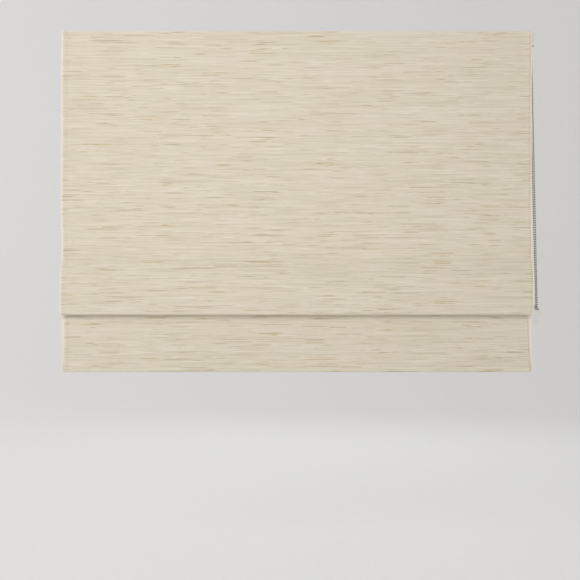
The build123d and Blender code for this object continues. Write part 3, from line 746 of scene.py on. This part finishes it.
def fold_with_rods(piece, panel, first_run):
    """The cloth of a panel hangs in a loop as its rods come together, and lies flat when they
    part. At rest it keeps the shape that it was made in. first_run is how far down the panel it
    starts."""
    mesh = piece.data
    count = len(mesh.vertices)
    rest = np.zeros(count * 3)
    mesh.vertices.foreach_get("co", rest)
    rest = rest.reshape(-1, 3)
    run = np.zeros(count)
    mesh.attributes["run"].data.foreach_get("value", run)
    run += first_run
    mesh.attributes["run"].data.foreach_set("value", run)
    gathered_now = float(gathered(panel, 0.0, 0.0))
    below_now = float(gathered(panel["below"], 0.0, 0.0)) if panel["below"] else 0.0
    alone, stacked = panel["reach"]
    reach_now = alone + (stacked - alone) * below_now
    forward, height = hanging_loop(run, panel, 0.0, 0.0, reach_now)
    spare = np.column_stack(
        [np.zeros(count), rest[:, 1] - (CLOTH_Y - forward), rest[:, 2] - height]
    )
    mesh.attributes.new("spare", "FLOAT_VECTOR", "POINT").data.foreach_set("vector", spare.ravel())

    tree = bpy.data.node_groups.new(f"fold_{piece.name}", "GeometryNodeTree")
    for direction in ("INPUT", "OUTPUT"):
        tree.interface.new_socket("Geometry", in_out=direction, socket_type="NodeSocketGeometry")

    def add(kind, **settings):
        node = tree.nodes.new(kind)
        for key, value in settings.items():
            setattr(node, key, value)
        return node

    def parts_of(socket):
        node = add("ShaderNodeSeparateXYZ")
        tree.links.new(socket, node.inputs[0])
        return node.outputs

    def shift(body):
        info = add("GeometryNodeObjectInfo")
        info.inputs["Object"].default_value = frame["bodies"][body]
        return Field(tree, parts_of(info.outputs["Location"])["Z"])

    def stored(name, kind):
        node = add("GeometryNodeInputNamedAttribute", data_type=kind)
        node.inputs["Name"].default_value = name
        return node.outputs["Attribute"]

    upper_shift, lower_shift = shift(panel["bodies"][0]), shift(panel["bodies"][1])
    reach = alone
    if panel["below"]:
        reach = gathered(panel["below"], lower_shift, shift(panel["below"]["bodies"][1]))
        reach = reach * (stacked - alone) + alone
    forward, height = hanging_loop(
        Field(tree, stored("run", "FLOAT")), panel, upper_shift, lower_shift, reach
    )
    changed = (gathered(panel, upper_shift, lower_shift) - gathered_now).sum("ABSOLUTE")
    keep = clipped(1.0 - changed)
    rest_parts = parts_of(stored("spare", "FLOAT_VECTOR"))
    joined = add("ShaderNodeCombineXYZ")
    tree.links.new(parts_of(add("GeometryNodeInputPosition").outputs[0])["X"], joined.inputs["X"])
    y = CLOTH_Y - forward + Field(tree, rest_parts["Y"]) * keep
    z = height + Field(tree, rest_parts["Z"]) * keep
    tree.links.new(y.socket, joined.inputs["Y"])
    tree.links.new(z.socket, joined.inputs["Z"])
    move = add("GeometryNodeSetPosition")
    tree.links.new(add("NodeGroupInput").outputs[0], move.inputs["Geometry"])
    tree.links.new(joined.outputs[0], move.inputs["Position"])
    tree.links.new(move.outputs[0], add("NodeGroupOutput").inputs[0])
    piece.modifiers.new("fold", "NODES").node_group = tree


def panel_between(rod_bodies, upper, lower, length, *, alone, stacked, depth, below=None):
    """A length of cloth between two heights, with the bodies that hold it there. Its loop is as
    thick as depth. The loop's back layer hangs as far forward as alone, or as stacked when the
    panel below hangs in a loop too."""
    return {
        "bodies": rod_bodies,
        "upper": upper,
        "lower": lower,
        "length": length,
        "reach": (alone, stacked),
        "depth": depth,
        "below": below,
    }


FOLD_PANEL = panel_between(
    ("middle_rod_panel", "lower_flap"),
    MIDDLE_ROD,
    LOWER_ROD,
    PANEL,
    alone=0.0085,
    stacked=0.0085,
    depth=0.0145,
)
MIDDLE_PANEL = panel_between(
    ("upper_rod_panel", "middle_rod_panel"),
    UPPER_ROD,
    MIDDLE_ROD,
    PANEL,
    alone=0.008,
    stacked=0.0265,
    depth=0.011,
    below=FOLD_PANEL,
)
TOP_PANEL = panel_between(
    ("headrail_assembly", "upper_rod_panel"),
    TAPE_BOTTOM,
    UPPER_ROD,
    TAPE_BOTTOM - UPPER_ROD,
    alone=0.008,
    stacked=0.041,
    depth=0.010,
    below=MIDDLE_PANEL,
)


# Cloth pieces ------------------------------------------------------------------------------------
# For each layer: half its width, its thickness, how far it lies behind the face cloth, its
# material and its slot
LAYERS = {
    "face": (FACE_HALF, FACE_THICKNESS, 0.0, MATERIALS["face_fabric"], "face_fabric"),
    "lining": (LINING_HALF, LINING_THICKNESS, LINING_BEHIND, LINING, "lining_fabric"),
}


def hang(
    layer, part, line, node, flat_length, rests_on, *, down, seed, step=ROW, panel=None,
    first_run=0.0, waist=0.0,
):
    """One stretch of the face cloth or the lining, which stands for a CAD node. down, seed, step
    and waist are as in cloth, and panel and first_run are as in fold_with_rods."""
    half, thickness, behind, material, slot = LAYERS[layer]
    hemmed = layer == "face"
    piece = cloth(f"{layer}_cloth_{part}", line, half, down, seed, step, waist, hemmed)
    piece.data.materials.append(material)
    if panel:
        fold_with_rods(piece, panel, first_run)
    thicken(piece, thickness, behind)
    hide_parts(node)
    2 * half
    return piece


def fold_corners():
    """Corners and bend radii of the face cloth's middle line, round the drawn-up fold."""
    rear = CLOTH_Y - FACE_THICKNESS - TURN_GAP
    layers = FACE_THICKNESS + CLOTH_GAP + LINING_THICKNESS
    front = CLOTH_Y - FOLD_REACH
    foot = FOLD_BOTTOM + FACE_THICKNESS / 2
    foot_front = front + 0.002
    corners = [
        (CLOTH_Y, MIDDLE_ROD),
        (CLOTH_Y, MIDDLE_ROD - 0.002),
        (rear - 2 * layers - 0.0004, MIDDLE_ROD - STACK_PITCH + 0.002),  # over the lower rod
        (front, MIDDLE_ROD - 0.045),
        (front - 0.0015, MIDDLE_ROD - 0.090),  # where the front layer stands out most
        (foot_front, foot),
        (foot_front + 2 * FOLD_TURN, foot),
        (rear - 0.0045, LOWER_ROD - 0.075),  # the back layer, on its way up to the lower rod
        (rear, LOWER_ROD + 0.0005),
    ]
    turn = FOLD_TURN - 0.0001
    return corners, [0.0018, 0.003, 0.030, 0.060, turn, turn, 0.100]


def hem_corners():
    """Corners and bend radii of the flap's middle line, with its hem turned up behind the bar."""
    bottom = HEM + FACE_THICKNESS / 2
    pocket = LINING_BACK + BAR_THICKNESS + BAR_GAP + FACE_THICKNESS / 2
    seam = LINING_BACK + FACE_THICKNESS / 2
    proud = CLOTH_Y - BAR_BULGE
    corners = [
        (CLOTH_Y, LOWER_ROD),
        (CLOTH_Y, BAR_TOP + 0.001),
        (proud, BAR_TOP - 0.005),
        (proud, bottom),
        (pocket, bottom),
        (pocket, HEM + HEM_HEIGHT - HEM_RETURN),
        (seam, HEM + HEM_HEIGHT),
        (seam, HEM + HEM_HEIGHT + HEM_SEAM),
    ]
    return corners, [0.003, 0.003, 0.0012, 0.0012, 0.002, 0.002]


def hang_panels():
    """The face cloth and the lining, from the headrail to the hem."""
    fold_line = spaced(rounded(*fold_corners()), OUTLINE_STEP)
    lowest = int(np.argmin(fold_line[:, 1]))
    front_length = lengths(fold_line)[lowest]
    hem_line = rounded(*hem_corners())
    down_upper = CLOTH_TOP - UPPER_ROD
    down_middle = down_upper + PANEL
    down_lower = down_middle + PANEL
    for layer, prefix in (("face", "face_fabric"), ("lining", "lining")):
        inset = FACE_TOP_INSET if layer == "face" else 0.0
        top = hang(
            layer, "top", [(CLOTH_Y, CLOTH_TOP - inset), (CLOTH_Y, UPPER_ROD)], f"{prefix}_top",
            down_upper - inset, ["hook_tape", "upper_rod_pocket"], down=inset, seed=0.4,
            panel=TOP_PANEL, first_run=TAPE_BOTTOM - CLOTH_TOP + inset,
        )
        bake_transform(top)
        middle = hang(
            layer, "middle", [(CLOTH_Y, UPPER_ROD), (CLOTH_Y, MIDDLE_ROD)], f"{prefix}_middle",
            PANEL, ["upper_rod_pocket", "middle_rod_pocket"], down=down_upper, seed=1.9,
            panel=MIDDLE_PANEL,
        )
        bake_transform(middle)
        front = hang(
            layer, "fold_front", fold_line[: lowest + 1], f"{prefix}_fold", front_length,
            ["middle_rod_pocket"], down=down_middle, seed=3.1, step=FOLD_ROW, panel=FOLD_PANEL,
        )
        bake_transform(front)
        back = hang(
            layer, "fold_back", fold_line[lowest:], f"{prefix}_fold", PANEL - front_length,
            ["lower_rod_pocket"], down=down_middle + front_length, seed=3.1, step=FOLD_ROW,
            panel=FOLD_PANEL, first_run=front_length,
        )
        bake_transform(back)
    face = hang(
        "face", "flap", hem_line, "face_fabric_flap", lengths(hem_line)[-1],
        ["lower_rod_pocket", "bottom_bar"], down=down_lower, seed=5.2, step=HEM_ROW,
        waist=FACE_WAIST,
    )
    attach(face, "lower_flap")
    lining = hang(
        "lining", "flap", [(CLOTH_Y, LOWER_ROD), (CLOTH_Y, LINING_END)], "lining_flap",
        LOWER_ROD - LINING_END, ["lower_rod_pocket"], down=down_lower, seed=5.2, waist=LINING_WAIST,
    )
    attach(lining, "lower_flap")


# Stitching, cords and chain ----------------------------------------------------------------------
def lathe(profile, sides):
    """Vertices and faces of a shape turned about X, from (x, radius) points."""
    vertices = [
        (x, r * math.cos(2 * math.pi * i / sides), r * math.sin(2 * math.pi * i / sides))
        for x, r in profile
        for i in range(sides)
    ]
    faces = [
        (ring + i, ring + (i + 1) % sides, ring + sides + (i + 1) % sides, ring + sides + i)
        for ring in range(0, (len(profile) - 1) * sides, sides)
        for i in range(sides)
    ]
    return np.array(vertices), faces


def repeated(name, shape, places):
    """One mesh with a shape, its vertices and faces, set at each place, a matrix."""
    base, base_faces = shape
    vertices, faces = [], []
    for n, place in enumerate(places):
        turned = base @ np.array(place.to_3x3()).T + np.array(place.translation)
        vertices += [tuple(v) for v in turned]
        faces += [tuple(v + n * len(base) for v in face) for face in base_faces]
    return mesh_object(name, vertices, faces)


def stitch_row(name, half, y, z, body):
    """A row of machine stitches across the back of the cloth."""
    end = STITCH_LENGTH / 2
    full = end * THREAD_FULL
    shape = lathe(
        [(-end, THREAD_TIP), (-full, THREAD_RADIUS), (full, THREAD_RADIUS), (end, THREAD_TIP)],
        THREAD_SIDES,
    )
    count = int(2 * half / STITCH_PITCH)
    places = [
        Matrix.Translation((-half + STITCH_PITCH * (i + 0.5), y, z)) for i in range(count)
    ]
    row = repeated(name, shape, places)
    row.data.materials.append(THREAD)
    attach(row, body)


def sew():
    """The stitching of the rod pockets and of the hem."""
    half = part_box("upper_rod_pocket")[1].x - POCKET_STITCH_INSET
    pocket_y = LINING_BACK + POCKET_BAND + THREAD_RADIUS / 2
    rods = (("upper", "upper_rod_panel"), ("middle", "middle_rod_panel"), ("lower", "lower_flap"))
    for name, body in rods:
        middle = middle_of(f"{name}_rod_pocket")[2]
        for side, rise in (("above", POCKET_STITCH_RISE), ("below", -POCKET_STITCH_RISE)):
            stitch_row(f"stitches_{name}_{side}", half, pocket_y, middle + rise, body)
    half = FACE_HALF - HEM_STITCH_INSET
    hem_y = LINING_BACK + FACE_THICKNESS + THREAD_RADIUS / 2
    stitch_row("stitches_hem", half, hem_y, HEM + HEM_HEIGHT + HEM_STITCH_RISE, "lower_flap")


def string_cords():
    """Each lift cord in three runs, one above each rod."""
    runs = [
        ("headrail_assembly", "upper_rod_panel", "upper"),
        ("upper_rod_panel", "middle_rod_panel", "middle"),
        ("middle_rod_panel", "lower_flap", "lower"),
    ]
    downward = Matrix.Rotation(math.pi / 2, 4, "Y")
    for side in ("left", "centre", "right"):
        low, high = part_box(f"lift_cord_{side}")
        x, y, _ = middle_of(f"lift_cord_{side}")
        heights = [high.z, UPPER_ROD, MIDDLE_ROD, low.z]
        for i, (above, below, name) in enumerate(runs):
            length = heights[i] - heights[i + 1]
            rows = max(3, round(length / CORD_ROW) + 1)
            shape = lathe([(run, CORD_RADIUS) for run in np.linspace(0, length, rows)], CORD_SIDES)
            place = Matrix.Translation((x, y, heights[i])) @ downward
            cord = repeated(f"cord_{side}_{name}", shape, [place])
            cord.data.materials.append(MATERIALS["lift_cord"])
            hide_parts(f"lift_cord_{side}")
            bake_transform(cord)


def chain_line():
    """The closed line of the chain, as points (rearward, up) from the wheel's centre, then that
    centre and the directions rearward and up."""
    _, shaft_y, shaft_z = middle_of("cord_drum_centre")
    wheel = Vector((middle_of("chain_sprocket")[0], shaft_y, shaft_z))
    post = Vector(middle_of("chain_tensioner"))
    post.y = TENSIONER_POST_Y
    up = (wheel - post).normalized()
    rear = Vector((0, 1, 0))
    rear = (rear - up * rear.dot(up)).normalized()
    drop = (wheel - post).length
    radius = SPROCKET_BEADS * BEAD_PITCH / (2 * math.pi)
    lean = math.asin((radius - TENSIONER_TURN) / drop)
    over = np.linspace(math.pi + lean, -lean, CHAIN_ARC_POINTS)
    under = np.linspace(-lean, -math.pi + lean, CHAIN_ARC_POINTS)
    points = [(radius * math.cos(a), radius * math.sin(a)) for a in over]
    points += [
        (TENSIONER_TURN * math.cos(a), TENSIONER_TURN * math.sin(a) - drop) for a in under
    ]
    points.append(points[0])
    return np.array(points), wheel, rear, up


def thread_chain():
    """The ball chain, one ball and its link at a time."""
    points, wheel, rear, up = chain_line()
    travelled = lengths(points)
    count = round(travelled[-1] / BEAD_PITCH)
    pitch = travelled[-1] / count
    half = pitch / 2
    waist = math.sqrt(BEAD_RADIUS**2 - LINK_RADIUS**2)
    opening = math.asin(LINK_RADIUS / BEAD_RADIUS)
    angles = np.linspace(math.pi - opening, opening, BEAD_RINGS)
    profile = [(-half, LINK_RADIUS), (-waist, LINK_RADIUS)]
    profile += [(BEAD_RADIUS * math.cos(a), BEAD_RADIUS * math.sin(a)) for a in angles[1:-1]]
    profile += [(waist, LINK_RADIUS), (half, LINK_RADIUS)]

    def at(distance):
        distance = distance % travelled[-1]
        a, b = (np.interp(distance, travelled, points[:, i]) for i in (0, 1))
        return wheel + rear * float(a) + up * float(b)

    places = []
    for i in range(count):
        middle = i * pitch
        ahead = (at(middle + half) - at(middle - half)).normalized()
        turn = ahead.to_track_quat("X", "Z").to_matrix().to_4x4()
        places.append(Matrix.Translation(at(middle)) @ turn)
    chain = repeated("chain_of_balls", lathe(profile, BEAD_SIDES), places)
    chain.data.materials.append(MATERIALS["chain_metal"])
    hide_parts("ball_chain")
    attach(chain, "headrail_assembly")


make_camera()
make_stage()
make_studio_light()
finish_cad_nodes()
hang_panels()
sew()
string_cords()
thread_chain()
